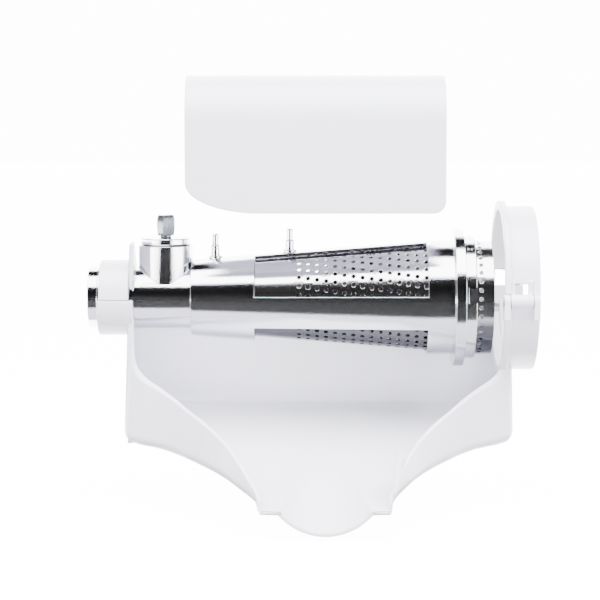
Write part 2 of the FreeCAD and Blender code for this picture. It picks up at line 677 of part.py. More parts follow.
# ---------------------------------------------------------------- collar clamp, the upper half of the collar
clamp_end = wall_left - size("split_gap")
clamp_shape = barrel_cylinder(size("collar_out_r"), size("clamp_start"), clamp_end)
clamp_shape = clamp_shape.common(above(size("split_gap")))
clamp_shape = clamp_shape.cut(barrel_cylinder(size("barrel_r") + size("gap"), -5, clamp_end + 5))
clamp = solid_feature("collar_clamp", clamp_shape)
pieces.append(clamp)

# ---------------------------------------------------------------- outlet strap, the upper half of the ring
strap_shape = ring_cylinder(ring_r, ring_start, ring_end)
strap_shape = strap_shape.fuse(ring_cylinder(size("bead_r"), ring_start, ring_start + size("bead_len")))
strap_shape = strap_shape.common(above(parting + size("split_gap")))
strap_shape = strap_shape.cut(hinge_disc(size("knuckle_r") + size("gap"), ring_start - 10, ring_end + 10))
for side_y in (-ring_r - 10, ring_r - 25):
    slot = Part.makeBox(size("knuckle_len"), 35, size("ring_win_top") + 10, V(knuckle_start, side_y, -10))
    strap_shape = strap_shape.cut(slot)
arms = [hinge_disc(size("knuckle_r"), knuckle_start, knuckle_end)]
for arm_x in (knuckle_start, knuckle_end - size("arm_w")):
    arms.append(Part.makeBox(size("arm_w"), 4.0, size("ring_win_top") + 2 - hinge_z,
                             V(arm_x, -ring_r - 0.5, hinge_z)))
strap_shape = strap_shape.fuse(arms)
strap_shape = strap_shape.cut(ring_cylinder(ring_in, ring_start - 5, ring_end + 5))
strap_shape = strap_shape.cut(hinge_disc(size("hinge_r") + size("run_gap"), ring_start, ring_end + 2))
strap = solid_feature("outlet_strap", strap_shape.removeSplitter())
pieces.append(strap)
hinge_pin = solid_feature("strap_hinge_pin",
                          hinge_disc(size("hinge_r"), ear_starts[0], ear_starts[1] + ear_len))
pieces.append(hinge_pin)

# ---------------------------------------------------------------- splash cover, shown lifted off its pegs
lift = size("cover_lift")
cover_x = size("cover_start")
cover_len = size("cover_len")
cover_top = size("cover_top")


def arch(inset, bottom_z):
    """Inverted U across the axis, as a solid over the cover's length."""
    side = size("cover_half") - inset
    top = cover_top - inset
    round_r = size("cover_bend") - inset
    low = top - round_r
    across = side - round_r
    shoulder = round_r * math.sqrt(0.5)

    def at(y, z):
        return V(cover_x, y, z)

    edges = [
        line(at(-side, bottom_z), at(-side, low)),
        Part.Arc(at(-side, low), at(-across - shoulder, low + shoulder), at(-across, top)).toShape(),
        line(at(-across, top), at(across, top)),
        Part.Arc(at(across, top), at(across + shoulder, low + shoulder), at(side, low)).toShape(),
        line(at(side, low), at(side, bottom_z)),
        line(at(side, bottom_z), at(-side, bottom_z)),
    ]
    return Part.Face(Part.Wire(Part.__sortEdges__(edges))).extrude(V(cover_len, 0, 0))


cover_shape = arch(0.0, size("cover_front_z")).cut(arch(size("cover_wall"), size("cover_front_z") - 10))
cover_shape = cover_shape.cut(Part.makeBox(cover_len, 80, 200, V(cover_x, 0, size("cover_back_z") - 200)))
cut_len = size("cover_cut_len")
cut_rise = size("cover_cut_rise")
front_z = size("cover_front_z")
ellipse_edge = Part.Arc(V(cover_x, -70, front_z + cut_rise),
                        V(cover_x + cut_len * 0.2929, -70, front_z + cut_rise * 0.2929),
                        V(cover_x + cut_len, -70, front_z)).toShape()
corner_edges = [ellipse_edge,
                line(V(cover_x + cut_len, -70, front_z), V(cover_x + cut_len, -70, front_z - 5)),
                line(V(cover_x + cut_len, -70, front_z - 5), V(cover_x - 5, -70, front_z - 5)),
                line(V(cover_x - 5, -70, front_z - 5), V(cover_x - 5, -70, front_z + cut_rise)),
                line(V(cover_x - 5, -70, front_z + cut_rise), V(cover_x, -70, front_z + cut_rise))]
corner_cut = Part.Face(Part.Wire(Part.__sortEdges__(corner_edges))).extrude(V(0, 60, 0))
cover_shape = cover_shape.cut(corner_cut)
corner_r = size("cover_corner_r")
end_x = cover_x + cover_len
right_corner = Part.makeBox(corner_r, 60, corner_r, V(end_x - corner_r, -70, front_z))
right_corner = right_corner.cut(Part.makeCylinder(corner_r, 62, V(end_x - corner_r, -71, front_z + corner_r),
                                                  V(0, 1, 0)))
cover_shape = cover_shape.cut(right_corner)
for peg_x, shoulder in (("peg_rear_x", "peg_rear_shoulder"), ("peg_front_x", "peg_front_shoulder")):
    foot = size(shoulder) + 1.0
    boss_height = cover_top - size("cover_wall") / 2 - foot
    boss = Part.makeCylinder(size("boss_r"), boss_height, V(size(peg_x), 0, foot))
    cover_shape = cover_shape.fuse(boss)
for peg_x, shoulder in (("peg_rear_x", "peg_rear_shoulder"), ("peg_front_x", "peg_front_shoulder")):
    bore_depth = size("peg_tip_len") - 1.0 + size("gap")
    bore = Part.makeCylinder(size("boss_bore_r"), bore_depth + 1.0, V(size(peg_x), 0, size(shoulder)))
    cover_shape = cover_shape.cut(bore)
cover_shape.translate(V(0, 0, lift))
cover = solid_feature("splash_cover", cover_shape.removeSplitter())
pieces.append(cover)

# ---------------------------------------------------------------- test and write
doc.recompute()
for item in doc.Objects:
    if "Invalid" in item.State or "Error" in item.State:
        raise RuntimeError("%s did not build: %s" % (item.Label, item.State))
os.makedirs("parts", exist_ok=True)
for piece in pieces:
    shape = piece.Shape
    if shape.isNull() or not shape.isValid() or not shape.Solids:
        raise RuntimeError("%s has no sound solid" % piece.Label)
    shape.exportStep("parts/%s.step" % piece.Label)
    print("%-22s solids %d volume %9.1f" % (piece.Label, len(shape.Solids), shape.Volume))
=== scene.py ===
"""Looks for the rotary grater-strainer head: chrome casting, steel screen, white tray and cover."""
import math

import bpy
from mathutils import Matrix, Vector


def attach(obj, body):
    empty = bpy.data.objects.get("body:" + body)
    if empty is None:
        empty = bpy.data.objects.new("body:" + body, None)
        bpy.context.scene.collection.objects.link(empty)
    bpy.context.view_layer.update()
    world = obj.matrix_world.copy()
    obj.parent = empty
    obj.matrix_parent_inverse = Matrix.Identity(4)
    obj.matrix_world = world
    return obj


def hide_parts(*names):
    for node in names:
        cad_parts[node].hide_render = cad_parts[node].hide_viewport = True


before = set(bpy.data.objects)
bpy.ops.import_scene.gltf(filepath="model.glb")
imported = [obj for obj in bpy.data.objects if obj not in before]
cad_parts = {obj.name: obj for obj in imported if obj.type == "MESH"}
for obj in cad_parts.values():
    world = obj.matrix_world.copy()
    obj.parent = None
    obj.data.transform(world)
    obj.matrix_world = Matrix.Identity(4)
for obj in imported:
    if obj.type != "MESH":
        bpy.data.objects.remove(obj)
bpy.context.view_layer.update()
bpy.ops.object.select_all(action="DESELECT")

# ---------------------------------------------------------------- camera
# A long lens, level with the drive line and looking a few degrees down at it.
camera_data = bpy.data.cameras.new("camera")
camera_data.lens = 126
camera_data.sensor_width = 36
camera_data.clip_end = 100
camera = bpy.data.objects.new("camera", camera_data)
camera.location = (0.140, -1.3923, 0.1445)
camera.rotation_euler = (math.radians(84), 0, 0)
bpy.context.scene.collection.objects.link(camera)
bpy.context.scene.camera = camera

# ---------------------------------------------------------------- studio
# A white floor and bright white surroundings.  Black cards that only polished metal can see give it the
# dark band of a dim room behind the camera and the thin dark line of a gap overhead.
floor_z = -0.139
bpy.ops.mesh.primitive_plane_add(size=80, location=(0.14, 0, floor_z))
floor = bpy.context.object
floor.name = "floor"
floor_paint = bpy.data.materials.new("floor_paint")
floor_paint.use_nodes = True
floor_shader = floor_paint.node_tree.nodes["Principled BSDF"]
floor_shader.inputs["Base Color"].default_value = (0.35, 0.35, 0.355, 1)
floor_shader.inputs["Roughness"].default_value = 0.9
floor_shader.inputs["Emission Color"].default_value = (1, 1, 1, 1)
floor_shader.inputs["Emission Strength"].default_value = 14.0
floor.data.materials.append(floor_paint)
floor.visible_diffuse = False
bpy.ops.mesh.primitive_plane_add(size=8, location=(0.14, 5.8, floor_z + 3.9), rotation=(math.radians(90), 0, 0))
backdrop = bpy.context.object
backdrop.name = "backdrop"
backdrop.data.materials.append(floor_paint)
backdrop.visible_diffuse = False

world = bpy.data.worlds.new("studio")
bpy.context.scene.world = world
world.use_nodes = True
world.node_tree.nodes["Background"].inputs["Color"].default_value = (0.90, 0.90, 1, 1)
world.node_tree.nodes["Background"].inputs["Strength"].default_value = 0.85


def paint(name, color, rough, metal=0.0):
    """A material with plain settings, ready for its texture nodes."""
    made = bpy.data.materials.new(name)
    made.use_nodes = True
    shader = made.node_tree.nodes["Principled BSDF"]
    shader.inputs["Base Color"].default_value = (*color, 1)
    shader.inputs["Roughness"].default_value = rough
    shader.inputs["Metallic"].default_value = metal
    return made


black_card = paint("black_card", (0.001, 0.001, 0.0012), 1.0)
black_card.node_tree.nodes["Principled BSDF"].inputs["Specular IOR Level"].default_value = 0
grey_card = paint("grey_card", (0.50, 0.50, 0.54), 1.0)
for name, place, size, turn in (
    ("card_front", (0.14, -2.3, 1.13), (2.1, 2.54), 90),
    ("card_low", (0.14, -1.2525, floor_z + 0.003), (2.1, 2.095), 0),
    ("card_above", (0.14, 0.49, 1.5), (4.0, 0.82), 0),
    ("card_lip", (0.14, -0.1075, floor_z + 0.003), (2.1, 0.195), 0),
):
    bpy.ops.mesh.primitive_plane_add(size=1, location=place, rotation=(math.radians(turn), 0, 0))
    card = bpy.context.object
    card.name = name
    card.scale = (size[0], size[1], 1)
    card.data.materials.append(grey_card if name == "card_lip" else black_card)
    card.visible_camera = False
    card.visible_diffuse = False
    card.visible_shadow = False

for name, place, size, turn, power, mirrored in (
    ("softbox_above", (0.14, -0.60, 1.33), (3.6, 1.32), (4, 0), 225, True),
    ("softbox_right", (1.75, -1.70, 0.45), (0.9, 1.3), (77, 43), 30, True),
    ("softbox_low", (0.14, -1.65, 0.08), (2.4, 0.4), (90, 0), 48, False),
):
    light_data = bpy.data.lights.new(name, "AREA")
    light_data.shape = "RECTANGLE"
    light_data.size = size[0]
    light_data.size_y = size[1]
    light_data.energy = power
    light = bpy.data.objects.new(name, light_data)
    light.location = place
    light.rotation_euler = (math.radians(turn[0]), 0, math.radians(turn[1]))
    light.visible_glossy = mirrored
    bpy.context.scene.collection.objects.link(light)


def uneven(material, scale, depth, detail=2.0):
    """Gives a material a slightly uneven surface; scale is in bumps per metre, depth in metres."""
    nodes = material.node_tree.nodes
    links = material.node_tree.links
    place = nodes.new("ShaderNodeTexCoord")
    noise = nodes.new("ShaderNodeTexNoise")
    noise.inputs["Scale"].default_value = scale
    noise.inputs["Detail"].default_value = detail
    links.new(place.outputs["Object"], noise.inputs["Vector"])
    bump = nodes.new("ShaderNodeBump")
    bump.inputs["Strength"].default_value = 1.0
    bump.inputs["Distance"].default_value = depth
    links.new(noise.outputs["Fac"], bump.inputs["Height"])
    links.new(bump.outputs["Normal"], nodes["Principled BSDF"].inputs["Normal"])


def painted_shade_by_height(material, low_z, high_z, low_color, high_color):
    """Paints shade into a material's colour: a darker colour low down, blending to its own colour higher up, between
    two heights in millimetres.
    """
    nodes, links = material.node_tree.nodes, material.node_tree.links
    height = nodes.new("ShaderNodeSeparateXYZ")
    links.new(nodes["Texture Coordinate"].outputs["Object"], height.inputs["Vector"])
    share = nodes.new("ShaderNodeMapRange")
    share.inputs["From Min"].default_value = low_z / 1000
    share.inputs["From Max"].default_value = high_z / 1000
    links.new(height.outputs["Z"], share.inputs["Value"])
    mix = nodes.new("ShaderNodeMix")
    mix.data_type = "RGBA"
    mix.inputs["A"].default_value = (*low_color, 1)
    mix.inputs["B"].default_value = (*high_color, 1)
    links.new(share.outputs["Result"], mix.inputs["Factor"])
    links.new(mix.outputs["Result"], nodes["Principled BSDF"].inputs["Base Color"])


chrome = paint("chrome_cast", (0.68, 0.68, 0.72), 0.10, 1.0)
uneven(chrome, 1300, 0.00005, 4.0)
# Painted shade: the casting's chrome turns darker towards its underside, standing in for the darker reflections low on
# the barrel and cone.
painted_shade_by_height(chrome, -44, -12, (0.40, 0.40, 0.44), (0.68, 0.68, 0.72))
steel = paint("steel_polished", (0.62, 0.62, 0.64), 0.12, 1.0)
uneven(steel, 260, 0.00005)
screw_steel = paint("steel_screw", (0.16, 0.17, 0.19), 0.22, 1.0)
uneven(screw_steel, 500, 0.00008)
plastic = paint("plastic_white", (0.84, 0.84, 0.915), 0.28)
uneven(plastic, 40, 0.00004)
rubber = paint("rubber_black", (0.02, 0.02, 0.02), 0.6)
bronze = paint("bronze_sintered", (0.55, 0.37, 0.18), 0.35, 1.0)
nylon = paint("nylon_black", (0.035, 0.035, 0.038), 0.45)
wears = {
    "body_casting": chrome, "locating_peg_rear": steel, "locating_peg_front": steel, "key_ring": steel,
    "key_ring_studs": steel, "perforated_screen": steel, "screen_end_band": steel, "screen_key_tab": steel,
    "rear_bush": bronze, "shaft_seal": rubber, "thrust_washer": nylon, "drive_shaft": steel, "drive_pin": steel,
    "auger": nylon, "neck_cap": chrome, "cap_gasket": rubber, "plug_rubber": rubber, "plug_plate": steel,
    "thumb_screw": screw_steel, "drip_tray": plastic, "collar_clamp": plastic, "outlet_strap": plastic,
    "strap_hinge_pin": steel, "splash_cover": plastic,
}
for node, look in wears.items():
    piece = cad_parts[node]
    piece.data.materials.clear()
    piece.data.materials.append(look)

# ---------------------------------------------------------------- splash cover
# A thin glossy white moulding, bent over the cone like an inverted trough, with a long curve at its low
# left corner and two sockets inside that sit on the casting's pegs.  It is shown lifted off.
mm = 0.001


def only(obj):
    """Leaves one object selected and active."""
    bpy.ops.object.select_all(action="DESELECT")
    obj.select_set(True)
    bpy.context.view_layer.objects.active = obj


def modify(obj, kind, **settings):
    """Adds a modifier with these settings and applies it."""
    only(obj)
    made = obj.modifiers.new(kind.lower(), kind)
    for key, value in settings.items():
        setattr(made, key, value)
    bpy.ops.object.modifier_apply(modifier=made.name)


def combine(obj, tool, operation="DIFFERENCE"):
    """Cuts, joins or keeps what two solids share; the tool is used up."""
    modify(obj, "BOOLEAN", operation=operation, object=tool, solver="EXACT")
    bpy.data.objects.remove(tool)
    return obj


def block(low, high):
    """A box between two opposite corners, in millimetres."""
    low, high = Vector(low) * mm, Vector(high) * mm
    bpy.ops.mesh.primitive_cube_add(size=1, location=(low + high) / 2)
    made = bpy.context.object
    made.scale = high - low
    bpy.ops.object.transform_apply(location=True, rotation=True, scale=True)
    return made


def rod(start, end, radius, sides=64, end_radius=None):
    """A cylinder or cone between two points, in millimetres."""
    start, end = Vector(start) * mm, Vector(end) * mm
    along = end - start
    turn = along.to_track_quat("Z", "Y").to_euler()
    bpy.ops.mesh.primitive_cone_add(vertices=sides, radius1=radius * mm,
                                    radius2=(radius if end_radius is None else end_radius) * mm,
                                    depth=along.length, location=(start + end) / 2, rotation=turn)
    made = bpy.context.object
    bpy.ops.object.transform_apply(location=True, rotation=True, scale=True)
    return made


def tube(start, end, outer, inner, sides=64):
    """A plain tube between two points, in millimetres."""
    along = (Vector(end) - Vector(start)).normalized()
    made = rod(start, end, outer, sides)
    return combine(made, rod(Vector(start) - along, Vector(end) + along, inner, sides))


def pick(obj, wanted, kind="EDGE"):
    """Opens edit mode with just the edges or faces that the test picks."""
    only(obj)
    bpy.ops.object.mode_set(mode="EDIT")
    bpy.context.tool_settings.mesh_select_mode = (False, kind == "EDGE", kind == "FACE")
    bpy.ops.mesh.select_all(action="DESELECT")
    bpy.ops.object.mode_set(mode="OBJECT")
    spots = obj.data.vertices
    items = obj.data.edges if kind == "EDGE" else obj.data.polygons
    for item in items:
        item.select = wanted([spots[k].co / mm for k in item.vertices])
    bpy.ops.object.mode_set(mode="EDIT")


def soften(obj, width, angle=35, segments=3):
    """Rounds every sharp edge by a width in millimetres, and smooths the rest."""
    modify(obj, "WELD", merge_threshold=0.02 * mm)
    only(obj)
    bpy.ops.object.duplicate()
    form = bpy.context.object
    modify(obj, "BEVEL", width=width * mm, segments=segments, limit_method="ANGLE",
           angle_limit=math.radians(angle), use_clamp_overlap=False, loop_slide=False, harden_normals=False)
    modify(obj, "SHRINKWRAP", target=form, wrap_method="NEAREST_SURFACEPOINT", wrap_mode="INSIDE")
    bpy.data.objects.remove(form)
    only(obj)
    bpy.ops.object.shade_smooth_by_angle(angle=math.radians(32))
    modify(obj, "WEIGHTED_NORMAL", weight=90, keep_sharp=True)


def dressed(obj, name, look, node, body):
    """Names a finished piece, gives it its material, and sets it in the place of its CAD node."""
    obj.name = name
    obj.data.materials.clear()
    obj.data.materials.append(look)
    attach(obj, body)
    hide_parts(node)


cover = block((66, -45, 58.6), (234, 45, 147))
pick(cover, lambda spots: min(s.z for s in spots) > 146 and abs(spots[0].y - spots[1].y) < 1)
bpy.ops.mesh.bevel(offset=30 * mm, segments=14, affect="EDGES")
bpy.ops.object.mode_set(mode="OBJECT")
pick(cover, lambda spots: all(s.x < 66.1 for s in spots) or all(s.x > 233.9 for s in spots)
     or all(s.z < 59 for s in spots), "FACE")
bpy.ops.mesh.delete(type="FACE")
bpy.ops.object.mode_set(mode="OBJECT")
modify(cover, "SOLIDIFY", thickness=2.2 * mm, offset=-1, use_even_offset=True)
combine(cover, block((60, 20, 50), (240, 60, 88)))
corner = block((60, -60, 50), (114, -30, 78.1))
oval = rod((114, -70, 78.1), (114, -20, 78.1), 19.5, 96)
only(oval)
bpy.ops.transform.resize(value=(48 / 19.5, 1, 1), center_override=(114 * mm, -45 * mm, 78.1 * mm))
bpy.ops.object.transform_apply(location=True, rotation=True, scale=True)
combine(corner, oval)
combine(cover, corner)
corner = block((226, -60, 50), (240, -30, 66.6))
combine(corner, rod((226, -70, 66.6), (226, -20, 66.6), 8, 48))
combine(cover, corner)
soften(cover, 0.8)
for peg_x, foot in ((83.8, 135.5), (133.2, 138.8)):
    socket = combine(rod((peg_x, 0, foot), (peg_x, 0, 145.6), 4.4, 32),
                     rod((peg_x, 0, foot - 1), (peg_x, 0, foot + 6.3), 2.4, 32))
    soften(socket, 0.3, segments=2)
    bpy.ops.object.select_all(action="DESELECT")
    socket.select_set(True)
    cover.select_set(True)
    bpy.context.view_layer.objects.active = cover
    bpy.ops.object.join()
dressed(cover, "cover_moulding", plastic, "splash_cover", "cover")

# ---------------------------------------------------------------- perforated screen
# A cone rolled from polished stainless sheet 0.8 mm thick.  It is punched with 2.5 mm holes from a quarter
# of the way along, in rings 5.94 mm apart, and its seam runs along the top, under the casting's rib.
cone_small, cone_large, cone_slope = 24.9, 35.0, 0.08113
hole_r, ring_step, arc_step, rings = 1.42, 5.94, 6.15, 15
first_ring, middle_angle = 139.3, -76.0
sheet_thick = 0.8


def cone_radius(x):
    """Radius of the screen's outer face at a distance along the axis."""
    return min(cone_large, cone_large - cone_slope * (223.3 - x))


def hole_cell(x, radius, half_x, half_arc):
    """A flat square of sheet with one round hole, standing on top of the cone."""
    bpy.ops.mesh.primitive_grid_add(x_subdivisions=4, y_subdivisions=4, size=1)
    made = bpy.context.object
    made.scale = (2 * half_x * mm, 2 * half_arc * mm, 1)
    bpy.ops.object.transform_apply(location=True, rotation=True, scale=True)
    pick(made, lambda spots: min(abs(abs(spots[0].x) - half_x), abs(abs(spots[0].y) - half_arc)) > 0.01
         or min(abs(abs(spots[1].x) - half_x), abs(abs(spots[1].y) - half_arc)) > 0.01)
    bpy.ops.mesh.delete(type="EDGE")
    bpy.ops.mesh.primitive_circle_add(vertices=16, radius=hole_r * mm, rotation=(0, 0, 0))
    bpy.ops.mesh.select_all(action="SELECT")
    bpy.ops.mesh.bridge_edge_loops()
    bpy.ops.object.mode_set(mode="OBJECT")
    made.location = (x * mm, 0, radius * mm)
    bpy.ops.object.transform_apply(location=True, rotation=True, scale=True)
    return made


def ring_of_cells(x, radius, half_x, arc, count, middle, slope_turn):
    """Copies one cell round the axis at an even arc, both ways from the middle line."""
    cell = hole_cell(x, radius, half_x, arc / 2)
    only(cell)
    bpy.ops.object.mode_set(mode="EDIT")
    bpy.ops.mesh.select_all(action="SELECT")
    bpy.ops.transform.rotate(value=slope_turn, orient_axis="Y", center_override=(x * mm, 0, radius * mm))
    step = arc / radius
    start = math.radians(90 - middle) - step * (count // 2)
    bpy.ops.transform.rotate(value=start, orient_axis="X", center_override=(0, 0, 0))
    for turn in range(count - 1):
        bpy.ops.mesh.duplicate()
        bpy.ops.transform.rotate(value=step, orient_axis="X", center_override=(0, 0, 0))
    bpy.ops.object.mode_set(mode="OBJECT")
    return cell


screen_parts = []
for ring in range(rings):
    ring_x = first_ring + ring * ring_step
    ring_r = cone_radius(ring_x)
    count = int(2 * math.pi * ring_r / arc_step)
    screen_parts.append(ring_of_cells(ring_x, ring_r, ring_step / 2, arc_step, count, middle_angle,
                                      math.atan(cone_slope)))
screen_parts.append(rod((104, 0, 0), (first_ring - ring_step / 2, 0, 0), cone_radius(104), 96,
                        cone_radius(first_ring - ring_step / 2)))
last_ring_end = first_ring + (rings - 0.5) * ring_step
screen_parts.append(rod((last_ring_end, 0, 0), (244.4, 0, 0), cone_large, 96))
for plain in screen_parts[-2:]:
    pick(plain, lambda spots: len(spots) > 4, "FACE")
    bpy.ops.mesh.delete(type="ONLY_FACE")
    bpy.ops.object.mode_set(mode="OBJECT")
bpy.ops.mesh.primitive_grid_add(x_subdivisions=30, y_subdivisions=4, size=1, location=(0, 0, 0))
seam = bpy.context.object
seam.scale = (0.094, 0.009, 1)
seam.location = (0.180, 0, 0.0312)
seam.rotation_euler = (0, -math.atan(cone_slope), 0)
bpy.ops.object.transform_apply(location=True, rotation=True, scale=True)
only(seam)
bpy.ops.object.mode_set(mode="EDIT")
bpy.ops.mesh.select_all(action="SELECT")
bpy.ops.transform.rotate(value=math.radians(90 - (middle_angle + 180)), orient_axis="X", center_override=(0, 0, 0))
bpy.ops.object.mode_set(mode="OBJECT")
screen_parts.append(seam)
cone_form = rod((90, 0, 0), (223.3, 0, 0), cone_radius(90), 256, cone_large)
drum_form = rod((223.3, 0, 0), (260, 0, 0), cone_large, 256)
bpy.ops.object.select_all(action="DESELECT")
for form in (cone_form, drum_form):
    form.select_set(True)
bpy.ops.object.join()
form = bpy.context.object
for part in screen_parts:
    modify(part, "SHRINKWRAP", target=form, wrap_method="NEAREST_SURFACEPOINT")
bpy.data.objects.remove(form)
bpy.ops.object.select_all(action="DESELECT")
for part in screen_parts:
    part.select_set(True)
bpy.context.view_layer.objects.active = screen_parts[0]
bpy.ops.object.join()
screen = bpy.context.object
modify(screen, "WELD", merge_threshold=0.02 * mm)
only(screen)
bpy.ops.object.mode_set(mode="EDIT")
bpy.ops.mesh.select_all(action="SELECT")
bpy.ops.mesh.normals_make_consistent(inside=False)
bpy.ops.object.mode_set(mode="OBJECT")


def faces_out(obj):
    """Turns the sheet's faces to look away from the axis."""
    only(obj)
    pick(obj, lambda spots: True, "FACE")
    bpy.ops.object.mode_set(mode="OBJECT")
    for face in obj.data.polygons:
        face.select = face.normal.y * face.center.y + face.normal.z * face.center.z < 0
    bpy.ops.object.mode_set(mode="EDIT")
    bpy.ops.mesh.flip_normals()
    bpy.ops.object.mode_set(mode="OBJECT")


def punched(obj, radius_at):
    """Gives rolled sheet its thickness, and rounds the rims of its holes as a punch does."""
    faces_out(obj)
    modify(obj, "SOLIDIFY", thickness=sheet_thick * mm, offset=-1, use_even_offset=False)
    pick(obj, lambda spots: (spots[0] - spots[1]).length < 0.6
         and all(abs(math.hypot(s.y, s.z) - radius_at(s.x)) < 0.12 for s in spots))
    bpy.ops.mesh.bevel(offset=0.2 * mm, segments=2, affect="EDGES")
    bpy.ops.object.mode_set(mode="OBJECT")
    only(obj)
    bpy.ops.object.shade_smooth_by_angle(angle=math.radians(34))
    modify(obj, "WEIGHTED_NORMAL", weight=95, keep_sharp=True)


sheet_steel = paint("steel_sheet", (0.62, 0.62, 0.64), 0.13, 1.0)
uneven(sheet_steel, 900, 0.00003)
# Painted shade: the sheet turns nearly black below the axis, standing in for the shaded, dark reflections in the lower
# windows.
painted_shade_by_height(sheet_steel, -16, -6, (0.075, 0.075, 0.085), (0.62, 0.62, 0.64))
punched(screen, cone_radius)
dressed(screen, "screen_sheet", sheet_steel, "perforated_screen", "cartridge")

# ---------------------------------------------------------------- screen end band
# The drum that ends the screen: rolled from the same sheet, a little wider, with one ring of holes where
# it stands out past the casting's flange, and turned in at its near end, where it is welded on.
band_r, band_holes, band_ring_x = 37.5, 40, 258.0
band_parts = [ring_of_cells(band_ring_x, band_r, ring_step / 2, 2 * math.pi * band_r / band_holes, band_holes,
                            middle_angle, 0.0)]
for start, end in ((243.7, band_ring_x - ring_step / 2), (band_ring_x + ring_step / 2, 266.3)):
    plain = rod((start, 0, 0), (end, 0, 0), band_r, 160)
    pick(plain, lambda spots: len(spots) > 4, "FACE")
    bpy.ops.mesh.delete(type="ONLY_FACE")
    bpy.ops.object.mode_set(mode="OBJECT")
    band_parts.append(plain)
form = rod((240, 0, 0), (270, 0, 0), band_r, 256)
for part in band_parts:
    modify(part, "SHRINKWRAP", target=form, wrap_method="NEAREST_SURFACEPOINT")
bpy.data.objects.remove(form)
bpy.ops.object.select_all(action="DESELECT")
for part in band_parts:
    part.select_set(True)
bpy.context.view_layer.objects.active = band_parts[0]
bpy.ops.object.join()
band = bpy.context.object
punched(band, lambda x: band_r)
washer = tube((243.6, 0, 0), (244.4, 0, 0), band_r - 0.02, cone_large - 0.4, 96)
bpy.ops.object.select_all(action="DESELECT")
washer.select_set(True)
band.select_set(True)
bpy.context.view_layer.objects.active = band
bpy.ops.object.join()
dressed(band, "end_band_sheet", sheet_steel, "screen_end_band", "cartridge")

# ---------------------------------------------------------------- body casting
# One chromed casting: rear barrel, upright neck, windowed cone, mouth and flange.  Its faces are a little
# uneven under the plating, and its window edges are rounded.
def lathe(stations, sides=160):
    """A closed solid turned about the X axis through (distance, radius) stations."""
    x, radius = stations[0]
    bpy.ops.mesh.primitive_circle_add(vertices=sides, radius=radius * mm, fill_type="NGON",
                                      location=(x * mm, 0, 0), rotation=(0, math.radians(90), 0))
    made = bpy.context.object
    bpy.ops.object.transform_apply(location=True, rotation=True, scale=True)
    bpy.ops.object.mode_set(mode="EDIT")
    bpy.ops.mesh.select_all(action="SELECT")
    for next_x, next_radius in stations[1:]:
        bpy.ops.mesh.extrude_region_move(TRANSFORM_OT_translate={"value": ((next_x - x) * mm, 0, 0)})
        share = next_radius / radius
        bpy.ops.transform.resize(value=(1, share, share), center_override=(next_x * mm, 0, 0))
        x, radius = next_x, next_radius
    bpy.ops.mesh.select_all(action="SELECT")
    bpy.ops.mesh.normals_make_consistent(inside=False)
    bpy.ops.object.mode_set(mode="OBJECT")
    return made


cone_wall = [(68 + step * 15.53, 25.3 + step * 1.26) for step in range(11)]
casting = lathe([(0, 20.1), (6.2, 20.1), (6.2, 20.7), (30, 20.7), (50, 20.7), (68, 20.7), *cone_wall, (241.3, 37.9),
                 (241.3, 45.7), (247.8, 45.7)])
combine(casting, rod((50.9, 0, 0), (50.9, 0, 35), 18, 96), "UNION")
for peg_x in (83.8, 133.2):
    boss_top = 25.3 + 0.08113 * (peg_x - 68) + 1.3
    combine(casting, rod((peg_x, 0, 10), (peg_x, 0, boss_top), 4.6, 32), "UNION")
combine(casting, lathe([(-1, 16.35), (70.3, 16.35), (70.3, 23.15), (223.3, 35.5), (243.3, 35.5), (243.3, 37.8),
                        (249, 37.8)], 128))
combine(casting, rod((50.9, 0, 0), (50.9, 0, 40), 14.5, 64))


def window_tool(low, high):
    """A wedge from the axis outward, between two angles up from the front."""
    made = block((110, -90, -90), (223.6, 90, 90))
    only(made)
    bpy.ops.object.mode_set(mode="EDIT")
    for angle, side in ((low, -1), (high, 1)):
        turn = math.radians(angle)
        bpy.ops.mesh.select_all(action="SELECT")
        bpy.ops.mesh.bisect(plane_co=(0.15, 0, 0), plane_no=(0, side * math.sin(turn), side * math.cos(turn)),
                            use_fill=True, clear_outer=True)
    bpy.ops.object.mode_set(mode="OBJECT")
    return made


for low, high in ((6, 77), (103, 174)):
    combine(casting, window_tool(low, high))
combine(casting, block((110, -90, -90), (223.6, 90, -18.3)))
soften(casting, 0.4)
dressed(casting, "casting_chromed", chrome, "body_casting", "head")

# ---------------------------------------------------------------- drip tray
# One glossy white moulding, 2.6 mm thick: a back wall that flows into a floor sloping to the front, side
# walls that sweep in to a spout, half a collar under the barrel, and the lower half of the outlet ring.
skin, back_y, lip_y = 2.6, 50.0, -122.0
tray_mid, tray_half, spout_half, spout_shift = 153.6, 130.9, 41.4, 3.5
floor_fall = math.tan(math.radians(15))


def under(y):
    """Height of the tray's underside at a distance from the axis plane, in millimetres."""
    return -76.3 + (y - back_y) * floor_fall


